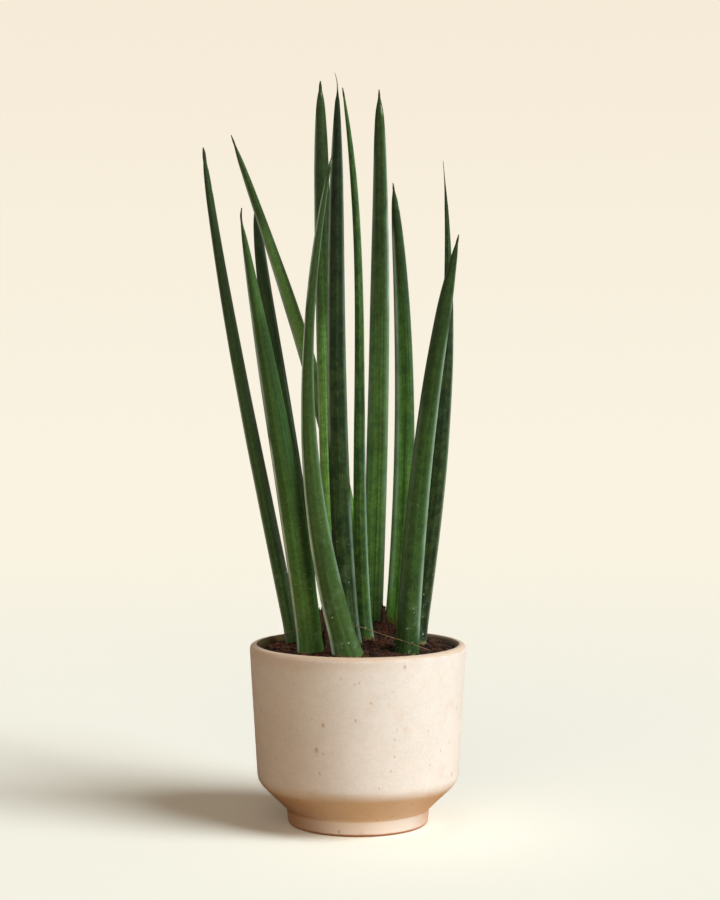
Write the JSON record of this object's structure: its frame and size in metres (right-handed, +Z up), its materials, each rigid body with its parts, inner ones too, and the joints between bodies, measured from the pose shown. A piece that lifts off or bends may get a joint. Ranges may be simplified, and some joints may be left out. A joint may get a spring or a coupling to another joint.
{
  "type": "potted cylindrical snake plant",
  "caption": "Cylindrical snake plant: tall round grooved leaves with dry pointed tips, in heaped peaty soil in a matte stoneware pot with a chamfered bottom and a narrow foot.",
  "frame": {"origin": "centre of the pot's flat underside, on the pot's axis", "axes": "+Z up along the pot's axis; +X to the viewer's right in the picture; -Y towards the viewer"},
  "size_m": [0.1736, 0.1396, 0.481],
  "materials": {
    "stoneware": null,
    "peat": null,
    "deep_green_leaf": "waxy semi-matte dark green succulent skin with lengthwise ribs and faint cross bands",
    "middle_green_leaf": "waxy semi-matte middle green succulent skin with lengthwise ribs",
    "bright_green_leaf": "waxy semi-matte bright green succulent skin with lengthwise ribs"
  },
  "bodies": {
    "root": {"pot": "stoneware", "soil": "peat", "leaf_01": "deep_green_leaf", "leaf_02": "middle_green_leaf", "leaf_03": "bright_green_leaf", "leaf_04": "deep_green_leaf", "leaf_05": "bright_green_leaf", "leaf_06": "deep_green_leaf", "leaf_07": "middle_green_leaf", "leaf_08": "bright_green_leaf", "leaf_09": "bright_green_leaf", "leaf_10": "middle_green_leaf", "leaf_11": "middle_green_leaf", "leaf_12": "deep_green_leaf"}
  },
  "joints": []
}
